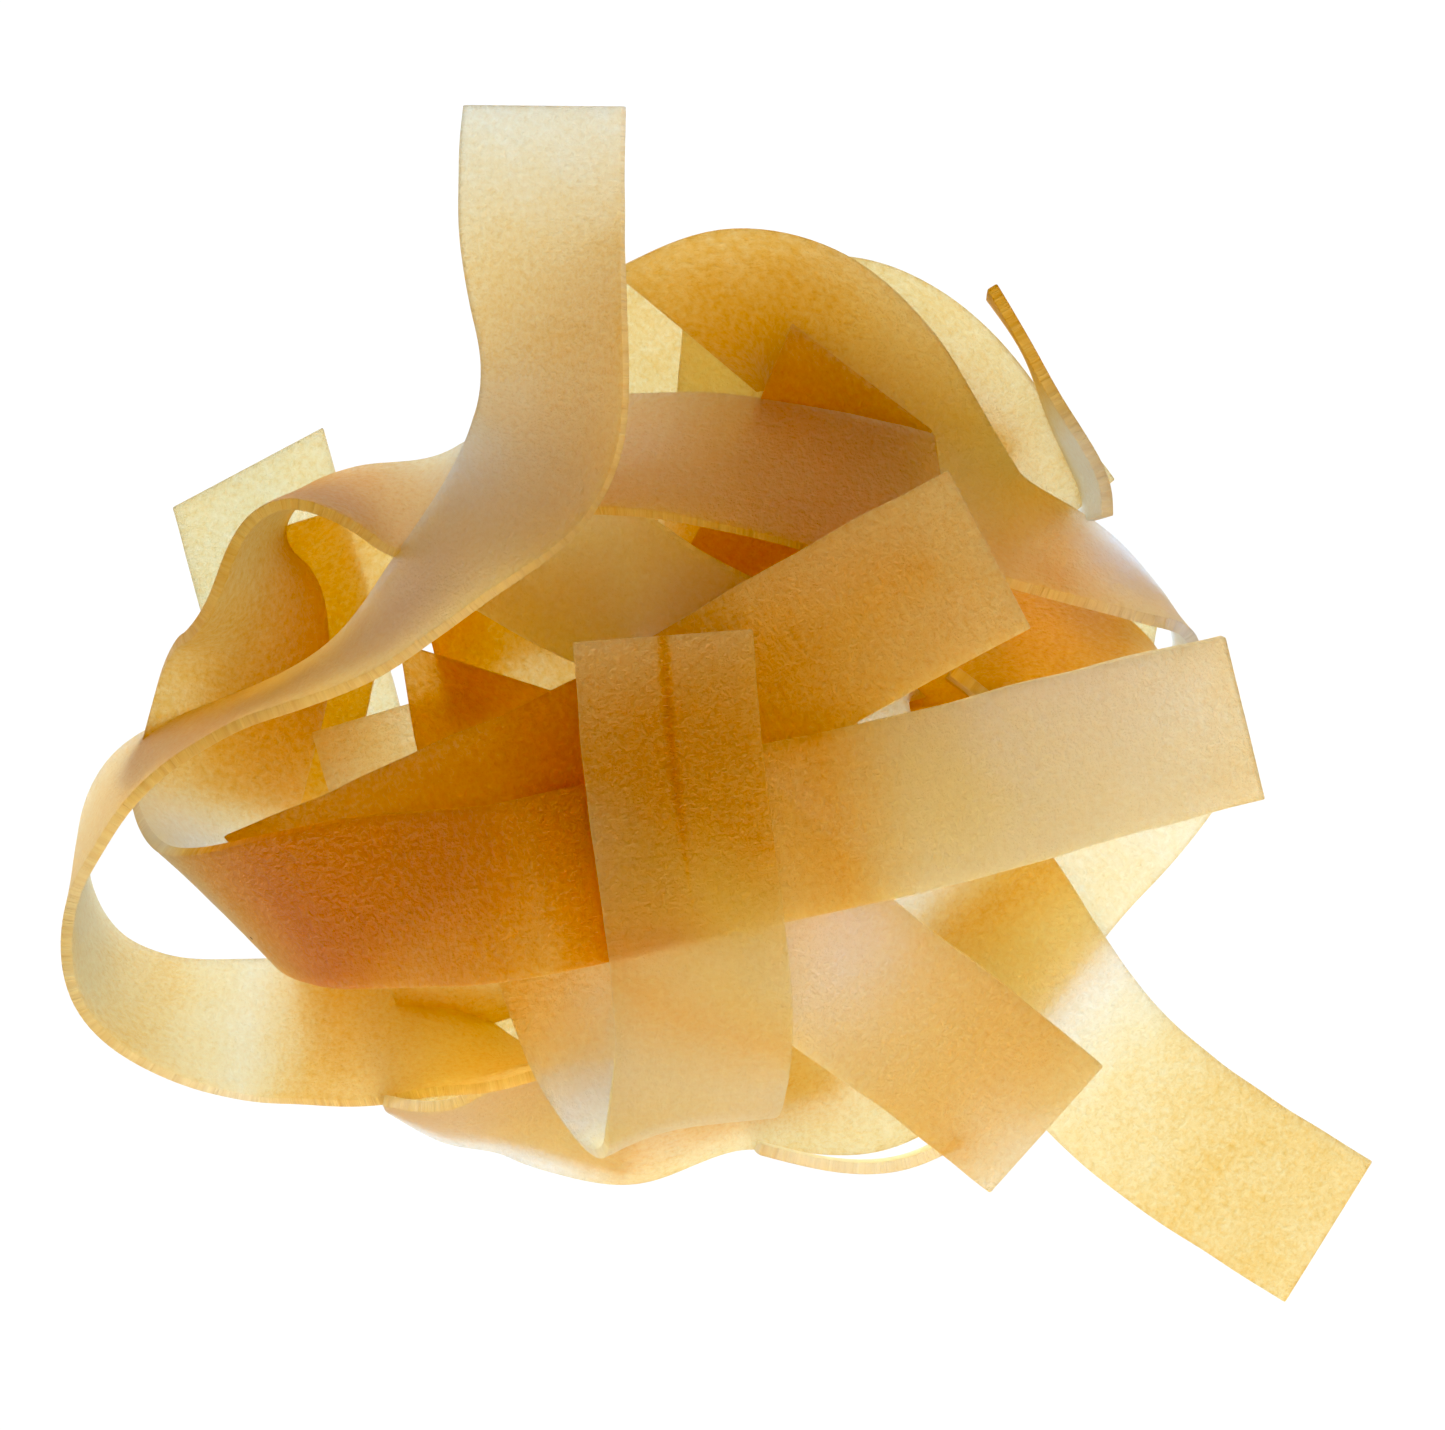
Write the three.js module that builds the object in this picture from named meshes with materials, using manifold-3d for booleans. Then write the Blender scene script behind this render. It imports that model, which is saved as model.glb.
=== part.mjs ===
// A dried nest of wide, flat egg-pasta ribbons, pappardelle style.
//
// One nest is a handful of ribbons, folded and coiled while soft and then dried until they
// hold each other. Here every stretch of ribbon is swept along its own path, and all of them,
// with a few lumps for the tangled pasta inside, are joined into one closed solid.
//
// Units are millimetres, +Z is up. The nest rests on Z = 0 with its middle over the origin.

import * as THREE from 'three';
import { mergeVertices } from 'three/addons/utils/BufferGeometryUtils.js';
import Module from 'manifold-3d';

// ---- Driving dimensions ----

const RIBBON_WIDTH = 13;
const RIBBON_THICKNESS = 0.9;

// A section is placed after this length of straight ribbon, or after this much turning,
// or after the same share of both.
const SECTION_SPACING = 6;
const SECTION_TURN = THREE.MathUtils.degToRad(24);
const WALK_STEP = 0.25;

// The tangle inside the nest is a few overlapping lumps: a centre and three radii each.
const CORE_LUMPS = [
  { centre: [2, -6, 14], radii: [12, 11, 10] },
  { centre: [16, -4.5, 13], radii: [8, 7, 7] },
  { centre: [-16, 8, 5], radii: [9, 9, 4.5] },
  { centre: [13, -3, 4.5], radii: [11, 10, 4] },
];
const CORE_UNEVENNESS = 0.12;

const PASTA_COLOUR = 0xeccd92;
const PASTA_ROUGHNESS = 0.7;

// ---- The ribbons ----

// Each row of a path is a place on the ribbon's middle line and the way its width lies:
// [x, y, z, turn, lift]. From the row's place, the ribbon's right edge is turned by `turn`
// degrees from +X on plan, and lifted by `lift` degrees, so a lift of 0 lies flat and one of
// 90 stands on edge. `skew` is how far the cuts at the two ends are out of square, in mm.

const RIBBONS = {
  // The wide strip over the middle. It bends down at the front and comes back underneath.
  clip: {
    skew: [0, -6.9],
    path: [
      [-4.0, 6.2, 31.5, 3, 0],
      [-3.2, -3.2, 31.8, 3, 0],
      [-2.0, -12.5, 31.0, 3, 0],
      [-1.3, -18.4, 29.3, 7, 0],
      [-1.1, -24.4, 25.8, 8, 0],
      [-1.6, -28.0, 22.7, 9, 0],
      [-2.3, -29.8, 19.6, 10, 0],
      [-4.0, -29.0, 16.8, 13, 0],
      [-7.3, -25.2, 14.9, 18, 0],
      [-10.6, -17.3, 13.6, 21, 0],
      [-16.1, -2.9, 11.2, 14, 0],
      [-17.5, 3.8, 9.8, 8, 0],
    ],
  },
  // The long band under the clip. It runs from its free end on the right to a big curl on
  // the left, turns over there and goes back across the top.
  band: {
    skew: [-1.8, -5],
    path: [
      [39.1, 0.3, 20.0, -75, -17],
      [28.1, -2.3, 23.8, -77, -10],
      [14.7, -5.8, 27.5, -77, 0],
      [4.4, -8.0, 29.4, -77, 0],
      [-7.2, -10.6, 29.6, -77, 0],
      [-17.0, -12.6, 28.0, -80, 0],
      [-24.2, -13.2, 24.2, -75, -6],
      [-32.4, -14.1, 21.0, -64, -24],
      [-37.8, -13.5, 14.8, -47, -34],
      [-39.0, -7.2, 8.0, -25, -19],
      [-37.4, -0.3, 6.4, -8, -7],
      [-35.8, 6.3, 6.0, -7, -37],
      [-35.5, 10.9, 7.5, -11, -65],
      [-35.0, 15.0, 8.1, -27, -85],
      [-32.3, 17.3, 8.8, 107, -84],
      [-28.8, 17.5, 9.2, 96, -72],
      [-25.0, 16.8, 9.3, 90, -60],
      [-20.5, 16.7, 10.4, 93, -49],
      [-13.6, 19.3, 12.4, 94, -49],
      [-1.4, 19.9, 15.5, 88, -41],
      [17.0, 15.6, 17.7, 87, -31],
    ],
  },
  // The end that sticks up at the back. It sweeps down to the left, makes the open loop
  // there on edge, and comes back low along the front.
  flag: {
    path: [
      [-12.9, 45.6, 22.0, 1, 23],
      [-13.0, 34.9, 22.0, 0, 22],
      [-12.2, 27.2, 22.0, -3, 33],
      [-13.2, 19.9, 21.6, -18, 30],
      [-18.9, 13.0, 20.6, -29, 50],
      [-26.1, 6.4, 18.2, -28, 67],
      [-34.0, 1.8, 14.8, -56, 80],
      [-42.8, -2.7, 12.5, -63, 74],
      [-47.0, -6.6, 10.3, -45, 72],
      [-49.4, -12.6, 7.8, -45, 85],
      [-47.1, -19.8, 6.4, -118, 67],
      [-40.5, -23.2, 5.4, -95, 48],
      [-34.0, -23.9, 5.2, -90, 37],
      [-28.5, -24.4, 5.9, -90, 42],
      [-22.1, -25.2, 6.7, -80, 56],
      [-17.2, -26.3, 7.4, -72, 75],
      [-13.8, -26.4, 7.5, -90, 87],
      [-6.8, -26.4, 7.5, 0, 90],
    ],
  },
  // The strip that slants under the band, from its cut end at the upper right.
  bar: {
    skew: [0, -4],
    path: [
      [19.8, 12.6, 26.8, -72, 0],
      [6.2, 5.2, 27.6, -61, 0],
      [-7.5, -2.7, 27.6, -63, 0],
      [-19.7, -8.2, 25.4, -66, 0],
      [-26.2, -11.1, 22.0, -65, 0],
      [-32.5, -13.7, 18.6, -65, -6],
    ],
  },
  // The short end that slopes down at the front right.
  short_end: {
    path: [
      [24.9, -31.0, 11.0, -131, -3],
      [13.2, -21.6, 19.3, -130, 0],
      [9.1, -18.5, 22.2, -128, 0],
      [1.9, -11.6, 26.7, -128, 0],
      [-4.6, -6.6, 26.3, -128, 0],
    ],
  },
  // The longest end, flat on the table at the front right, rising into the middle.
  long_end: {
    path: [
      [47.8, -40.0, 0.4, -120, 0],
      [42.2, -36.5, 0.4, -120, 0],
      [35.4, -31.9, 0.4, -121, 0],
      [30.2, -27.4, 1.2, -127, 0],
      [24.7, -20.5, 4.5, -142, 0],
      [14.3, -6.0, 10.0, -139, 0],
      [6.2, 1.6, 12.0, -128, -11],
      [-5.0, 8.3, 13.0, -125, -28],
      [-12.1, 12.3, 12.2, -127, -6],
      [-15.4, 14.2, 11.3, -127, 0],
    ],
  },
  // The arch at the back. It leans over more and more, turns round on edge at the right and
  // comes back under the bar.
  arch: {
    skew: [7, 0],
    path: [
      [-2.6, 30.2, 6.5, -72, -19],
      [1.8, 31.4, 6.9, -82, -9],
      [6.7, 30.2, 7.2, -99, 0],
      [10.6, 27.1, 7.6, -125, 12],
      [14.2, 22.6, 8.6, -135, 27],
      [20.3, 15.8, 10.6, -129, 48],
      [27.9, 12.5, 9.0, -116, 61],
      [33.2, 9.6, 7.4, -121, 76],
      [36.0, 6.3, 6.8, -90, 88],
      [35.6, 4.1, 6.8, -69, 85],
      [32.9, 4.4, 7.0, -81, 69],
      [26.7, 5.9, 7.2, -82, 53],
      [14.0, 5.5, 7.6, -82, 41],
    ],
  },
  // The strip that lies along the back, under and outside the arch.
  shoulder: {
    path: [
      [-10.1, 29.1, 0.4, -89, 0],
      [-1.5, 29.4, 0.4, -89, 0],
      [6.4, 30.0, 0.9, -91, 3],
      [11.4, 29.9, 2.0, -106, 18],
      [17.1, 26.4, 3.0, -139, 25],
      [21.4, 21.1, 3.4, -141, 27],
      [24.3, 17.8, 3.3, -140, 26],
      [26.3, 15.2, 3.1, -140, 25],
    ],
  },
  // The end that stands on edge against the shoulder.
  flap: {
    path: [
      [21.0, 33.2, 6.5, 35, 93],
      [23.9, 28.6, 6.5, 36, 94],
      [26.6, 24.7, 6.5, 32, 94],
      [29.1, 20.8, 6.5, 20, 94],
      [30.3, 17.6, 6.5, 8, 93],
      [30.4, 15.6, 6.5, 0, 92],
    ],
  },
  // The low stretch that goes round the front right, from under the band to the left end.
  ring: {
    path: [
      [35.2, -0.3, 7.0, 131, 21],
      [30.7, -6.5, 4.6, 131, 15],
      [24.7, -13.4, 2.8, 130, 13],
      [18.8, -21.7, 2.4, 125, 17],
      [11.6, -27.8, 2.7, 113, 25],
      [2.4, -28.8, 4.2, 94, 43],
      [-7.5, -31.9, 5.0, 86, 49],
      [-15.5, -30.2, 5.4, 72, 53],
      [-20.7, -30.8, 6.3, 72, 72],
      [-25.7, -29.5, 6.5, 67, 83],
    ],
  },
  // A stretch on edge in front of the ring.
  hoop: {
    path: [
      [3.0, -32.9, 6.5, -100, 94],
      [9.8, -34.3, 6.5, -90, 94],
      [15.2, -33.7, 6.5, -75, 94],
      [18.6, -32.0, 6.5, -60, 93],
    ],
  },
  // The end that shows outside the curl, at the left.
  tab: {
    skew: [-3, 0],
    path: [
      [-36.9, 19.9, 0.4, 16, 0],
      [-34.3, 10.3, 0.4, 16, 0],
      [-32.0, 2.2, 0.4, 16, 0],
      [-29.6, -6.0, 0.4, 16, 0],
    ],
  },
  // The square-cut end that shows between the curl and the clip, and dips to the table.
  stub: {
    path: [
      [-25.1, 1.0, 7.2, 14, 0],
      [-22.6, -7.6, 7.4, 16, 0],
      [-20.7, -14.5, 6.6, 16, 0],
      [-18.7, -20.5, 3.4, 16, 0],
      [-17.7, -23.4, 1.2, 14, 0],
    ],
  },
  // Flat on the table below the front stretches.
  slip: {
    skew: [8, 0],
    path: [
      [-33.0, -20.7, 0.4, -107, 0],
      [-25.8, -22.9, 0.4, -107, 0],
      [-15.6, -26.1, 0.4, -107, 0],
      [-5.4, -29.2, 0.4, -107, 0],
    ],
  },
  // From its cut end under the arch, down across the middle.
  cross: {
    skew: [3.6, 0],
    path: [
      [10.9, 26.2, 11.4, -23, 0],
      [8.9, 21.4, 12.2, -22, 0],
      [6.2, 15.4, 11.4, -23, 0],
      [2.6, 8.5, 9.6, -25, 0],
      [-0.5, 1.7, 8.0, -21, 0],
      [-3.3, -10.7, 5.6, -10, 0],
    ],
  },
  // The lowest strip, from the back to the front.
  under: {
    path: [
      [3.7, 30.9, 2.1, -5, 0],
      [2.8, 21.2, 2.4, -7, 0],
      [-0.3, 3.2, 3.2, -9, 0],
      [-1.7, -10.0, 3.4, -3, 0],
      [0.3, -19.4, 2.4, 9, 0],
      [2.5, -27.0, 1.1, 14, 0],
      [3.4, -30.3, 0.7, 15, 0],
    ],
  },
  // Two stretches on edge that carry the bar, the band and the clip.
  inner_coil: {
    path: [
      [-1.4, -13.7, 19.0, 0, 90],
      [5.3, -13.7, 19.0, 0, 90],
      [10.7, -9.6, 19.0, 0, 90],
      [11.5, -3.0, 19.0, 0, 90],
      [7.6, 1.2, 19.0, 0, 90],
      [2.5, 0.7, 19.0, 0, 90],
      [1.2, -4.7, 19.0, 0, 90],
      [5.0, -8.1, 19.0, 0, 90],
    ],
  },
  inner_wall: {
    path: [
      [15.8, 11.9, 20.0, 0, 90],
      [8.3, 8.9, 20.0, 0, 90],
      [1.6, 7.0, 20.0, 0, 90],
      [-2.1, 2.4, 20.0, 0, 90],
      [-2.9, -4.3, 20.0, 0, 90],
      [-2.3, -10.7, 20.0, 0, 90],
      [-3.6, -15.4, 20.0, 0, 90],
    ],
  },
  // On edge below the bar and the band, just left of the clip.
  inner_fence: {
    path: [
      [-11.9, 0.6, 19.4, 0, 90],
      [-11.2, -3.7, 19.6, 0, 90],
      [-10.2, -9.5, 19.6, 0, 90],
      [-9.4, -15.5, 19.0, 0, 90],
    ],
  },
  // On edge below the right half of the band. Its start peeps out behind the band.
  inner_arc: {
    path: [
      [17.4, 3.7, 17.0, 0, 90],
      [20.3, 1.4, 17.0, 0, 90],
      [23.3, -2.8, 16.5, 0, 90],
      [22.4, -8.4, 16.0, 0, 90],
      [17.0, -11.6, 16.5, 0, 90],
      [10.4, -12.6, 17.0, 0, 90],
    ],
  },
  // The inner turn of the curl, low inside it.
  lining: {
    skew: [-8, 0],
    path: [
      [-30.4, 16.4, 1.2, -12, 0],
      [-33.0, 6.0, 1.2, -10, 0],
      [-34.3, 0.0, 1.2, -8, 0],
      [-35.2, -6.5, 1.8, -5, 0],
    ],
  },
  // Flat layers inside the nest, from high to low.
  inner_mid: {
    path: [
      [-21.6, 4.3, 8.5, -105, 0],
      [-14.5, 6.0, 8.4, -103, 0],
      [-7.0, 7.6, 8.2, -101, 0],
    ],
  },
  inner_back: {
    path: [
      [13.0, 15.2, 5.4, 96, 0],
      [0.0, 13.8, 5.6, 96, 0],
      [-12.0, 12.2, 5.4, 99, 0],
      [-21.6, 9.9, 4.9, 104, 0],
    ],
  },
  inner_right: {
    path: [
      [33.6, 3.0, 0.5, 98, 0],
      [24.0, 4.6, 0.5, 99, 0],
      [9.0, 6.8, 0.6, 98, 0],
    ],
  },
  inner_low: {
    path: [
      [3.0, 21.5, 0.9, 84, 0],
      [12.5, 19.9, 0.5, 75, 0],
      [20.0, 16.0, 0.5, 62, 0],
    ],
  },
};

// ---- Paths ----

function widthDirection(turn, lift) {
  const turnAngle = THREE.MathUtils.degToRad(turn);
  const liftAngle = THREE.MathUtils.degToRad(lift);
  const level = Math.cos(liftAngle);
  return [level * Math.cos(turnAngle), level * Math.sin(turnAngle), Math.sin(liftAngle)];
}

function lengthsAlong(rows) {
  const lengths = [0];
  for (let i = 1; i < rows.length; i += 1) {
    const [x, y, z] = rows[i].map((value, axis) => value - rows[i - 1][axis]);
    lengths.push(lengths[i - 1] + Math.hypot(x, y, z));
  }
  return lengths;
}

// Second derivatives of the natural cubic spline through one column of the rows.
function splineBends(lengths, values) {
  const last = lengths.length - 1;
  const upper = new Array(last + 1).fill(0);
  const bends = new Array(last + 1).fill(0);
  for (let i = 1; i < last; i += 1) {
    const before = lengths[i] - lengths[i - 1];
    const after = lengths[i + 1] - lengths[i];
    const slopeChange = (values[i + 1] - values[i]) / after - (values[i] - values[i - 1]) / before;
    const pivot = 2 * (before + after) - before * upper[i - 1];
    upper[i] = after / pivot;
    bends[i] = (6 * slopeChange - before * bends[i - 1]) / pivot;
  }
  for (let i = last - 1; i > 0; i -= 1) {
    bends[i] -= upper[i] * bends[i + 1];
  }
  return bends;
}

function splineValue(lengths, values, bends, at) {
  let i = 0;
  while (i < lengths.length - 2 && at > lengths[i + 1]) {
    i += 1;
  }
  const span = lengths[i + 1] - lengths[i];
  const back = (lengths[i + 1] - at) / span;
  const front = (at - lengths[i]) / span;
  const curve = (back ** 3 - back) * bends[i] + (front ** 3 - front) * bends[i + 1];
  return back * values[i] + front * values[i + 1] + (curve * span * span) / 6;
}

// The ribbon's middle line and width direction, as one smooth function of length.
function ribbonCurve(path) {
  const rows = path.map(([x, y, z, turn, lift]) => [x, y, z, ...widthDirection(turn, lift)]);
  const lengths = lengthsAlong(rows.map((row) => row.slice(0, 3)));
  const columns = rows[0].map((unused, column) => rows.map((row) => row[column]));
  const bends = columns.map((values) => splineBends(lengths, values));
  const valuesAt = (at) => columns.map((values, i) => splineValue(lengths, values, bends[i], at));
  return { length: lengths[lengths.length - 1], valuesAt };
}

// A section's centre and its three directions: along the ribbon, across it and out of its face.
function frameAt(curve, at) {
  const values = curve.valuesAt(at);
  const ahead = curve.valuesAt(Math.min(at + WALK_STEP / 2, curve.length));
  const behind = curve.valuesAt(Math.max(at - WALK_STEP / 2, 0));
  const centre = new THREE.Vector3(values[0], values[1], values[2]);
  const along = new THREE.Vector3(ahead[0] - behind[0], ahead[1] - behind[1], ahead[2] - behind[2]);
  along.normalize();
  const across = new THREE.Vector3(values[3], values[4], values[5]);
  across.addScaledVector(along, -across.dot(along)).normalize();
  const out = new THREE.Vector3().crossVectors(along, across);
  return { centre, along, across, out };
}

// Sections lie close together where the ribbon turns or twists, and far apart where it is straight.
function sectionFrames(curve) {
  const steps = Math.ceil(curve.length / WALK_STEP);
  const frames = [frameAt(curve, 0)];
  let previous = frames[0];
  let due = 0;
  for (let i = 1; i <= steps; i += 1) {
    const frame = frameAt(curve, (curve.length * i) / steps);
    const turned = previous.along.angleTo(frame.along) + previous.across.angleTo(frame.across);
    due += curve.length / steps / SECTION_SPACING + turned / SECTION_TURN;
    if (due >= 1 || i === steps) {
      frames.push(frame);
      due = 0;
    }
    previous = frame;
  }
  return frames;
}

// ---- Solids ----

// An end cut that is out of square moves one edge forwards and the other back.
function sectionCorners(frame, skew) {
  const corners = [];
  for (const [side, face] of [[-1, -1], [1, -1], [1, 1], [-1, 1]]) {
    const corner = frame.centre.clone();
    corner.addScaledVector(frame.across, (side * RIBBON_WIDTH) / 2);
    corner.addScaledVector(frame.out, (face * RIBBON_THICKNESS) / 2);
    corner.addScaledVector(frame.along, (side * skew) / 2);
    corners.push(corner);
  }
  return corners;
}

function ribbonGeometry({ path, skew = [0, 0] }) {
  const frames = sectionFrames(ribbonCurve(path));
  const last = frames.length - 1;
  const positions = [];
  frames.forEach((frame, i) => {
    const endSkew = (i === 0 ? skew[0] : 0) + (i === last ? skew[1] : 0);
    sectionCorners(frame, endSkew).forEach((corner) => positions.push(...corner.toArray()));
  });
  const triangles = [0, 2, 1, 0, 3, 2];
  for (let i = 0; i < last; i += 1) {
    for (let side = 0; side < 4; side += 1) {
      const near = 4 * i + side;
      const nextNear = 4 * i + ((side + 1) % 4);
      triangles.push(near, nextNear, nextNear + 4, near, nextNear + 4, near + 4);
    }
  }
  const end = 4 * last;
  triangles.push(end, end + 1, end + 2, end, end + 2, end + 3);
  const geometry = new THREE.BufferGeometry();
  geometry.setAttribute('position', new THREE.Float32BufferAttribute(positions, 3));
  geometry.setIndex(triangles);
  return geometry;
}

// One lump of the tangle in the middle, where no single ribbon can be told from the next.
function lumpGeometry({ centre, radii }) {
  const geometry = new THREE.SphereGeometry(1, 14, 9);
  geometry.deleteAttribute('normal');
  geometry.deleteAttribute('uv');
  const merged = mergeVertices(geometry);
  const places = merged.getAttribute('position');
  const point = new THREE.Vector3();
  for (let i = 0; i < places.count; i += 1) {
    point.fromBufferAttribute(places, i);
    const bump = Math.sin(5 * point.x + 1) * Math.cos(4 * point.y) * Math.cos(3 * point.z);
    point.multiplyScalar(1 + CORE_UNEVENNESS * bump);
    const [x, y, z] = point.toArray().map((value, axis) => centre[axis] + radii[axis] * value);
    places.setXYZ(i, x, y, z);
  }
  return merged;
}

function tableGeometry() {
  const size = 20 * RIBBON_WIDTH;
  const geometry = new THREE.BoxGeometry(size, size, size);
  geometry.deleteAttribute('normal');
  geometry.deleteAttribute('uv');
  return mergeVertices(geometry.translate(0, 0, -size / 2));
}

// ---- Joining ----

const wasm = await Module();
wasm.setup();

function toSolid(geometry) {
  const vertProperties = new Float32Array(geometry.getAttribute('position').array);
  const triVerts = new Uint32Array(geometry.getIndex().array);
  return new wasm.Manifold(new wasm.Mesh({ numProp: 3, vertProperties, triVerts }));
}

function toGeometry(solid) {
  const mesh = solid.getMesh();
  const geometry = new THREE.BufferGeometry();
  geometry.setAttribute('position', new THREE.Float32BufferAttribute(mesh.vertProperties, 3));
  geometry.setIndex(Array.from(mesh.triVerts));
  return geometry;
}

function nestSolid() {
  const pieces = [...CORE_LUMPS.map(lumpGeometry), ...Object.values(RIBBONS).map(ribbonGeometry)];
  const joined = pieces.map(toSolid).reduce((nest, piece) => nest.add(piece));
  return joined.subtract(toSolid(tableGeometry()));
}

function centreOverOrigin(geometry) {
  geometry.computeBoundingBox();
  const centre = geometry.boundingBox.getCenter(new THREE.Vector3());
  return geometry.translate(-centre.x, -centre.y, -geometry.boundingBox.min.z);
}

const pasta = new THREE.MeshStandardMaterial({
  color: PASTA_COLOUR,
  roughness: PASTA_ROUGHNESS,
  metalness: 0,
});

const pastaNest = new THREE.Mesh(centreOverOrigin(toGeometry(nestSolid())), pasta);
pastaNest.name = 'pasta_nest';

const nest = new THREE.Group();
nest.add(pastaNest);

export default nest;
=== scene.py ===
# %% [markdown]
# # A dried nest of pappardelle
# The nest is a handful of wide egg-pasta ribbons that were folded and coiled while soft. It
# stands on a lit table, so that light comes up through the ribbons: one layer glows pale
# cream, two are golden, and many turn amber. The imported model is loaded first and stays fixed.

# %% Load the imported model
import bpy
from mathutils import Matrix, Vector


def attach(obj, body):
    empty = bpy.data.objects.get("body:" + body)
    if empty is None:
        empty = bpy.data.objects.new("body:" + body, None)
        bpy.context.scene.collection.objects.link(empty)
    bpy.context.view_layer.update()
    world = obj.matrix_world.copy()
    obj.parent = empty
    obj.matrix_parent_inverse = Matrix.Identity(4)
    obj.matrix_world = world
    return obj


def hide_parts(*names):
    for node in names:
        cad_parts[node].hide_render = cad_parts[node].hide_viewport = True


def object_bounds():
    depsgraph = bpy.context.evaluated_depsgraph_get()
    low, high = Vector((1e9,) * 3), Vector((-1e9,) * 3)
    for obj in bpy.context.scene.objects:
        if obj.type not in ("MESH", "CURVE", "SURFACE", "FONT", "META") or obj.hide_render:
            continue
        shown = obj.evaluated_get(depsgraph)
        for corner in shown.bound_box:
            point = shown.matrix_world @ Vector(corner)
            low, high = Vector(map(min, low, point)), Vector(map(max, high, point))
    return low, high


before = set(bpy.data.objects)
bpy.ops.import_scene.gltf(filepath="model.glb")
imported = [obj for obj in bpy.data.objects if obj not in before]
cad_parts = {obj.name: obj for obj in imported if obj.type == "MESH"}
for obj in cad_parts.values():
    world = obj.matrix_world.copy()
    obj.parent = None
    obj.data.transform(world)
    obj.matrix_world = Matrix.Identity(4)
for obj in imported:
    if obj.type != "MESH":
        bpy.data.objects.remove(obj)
solid_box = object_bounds()
print("solid box", solid_box)

# %% Imports and units
import math
from mathutils import Vector, noise
import bpy
import numpy as np

MM = 0.001
RIBBON_WIDTH = 13.0       # mm
RIBBON_THICKNESS = 0.9    # mm
STEP_ALONG = 0.5          # mm between two rows of the ribbon's mesh
STRIPS_ACROSS = 18
print("nest of", RIBBON_WIDTH, "mm ribbons")

# %% [markdown]
# ## The paths
# Each ribbon follows its own path. A row is a place on its middle line and the way its width
# lies: x, y and z in mm, then the turn of its right edge on plan and its lift, in degrees. A
# lift of 0 lies flat and one of 90 stands on edge. The paths are those of the solid model,
# except that the flap's lower half leans and stands about 2 mm further in here.

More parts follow.
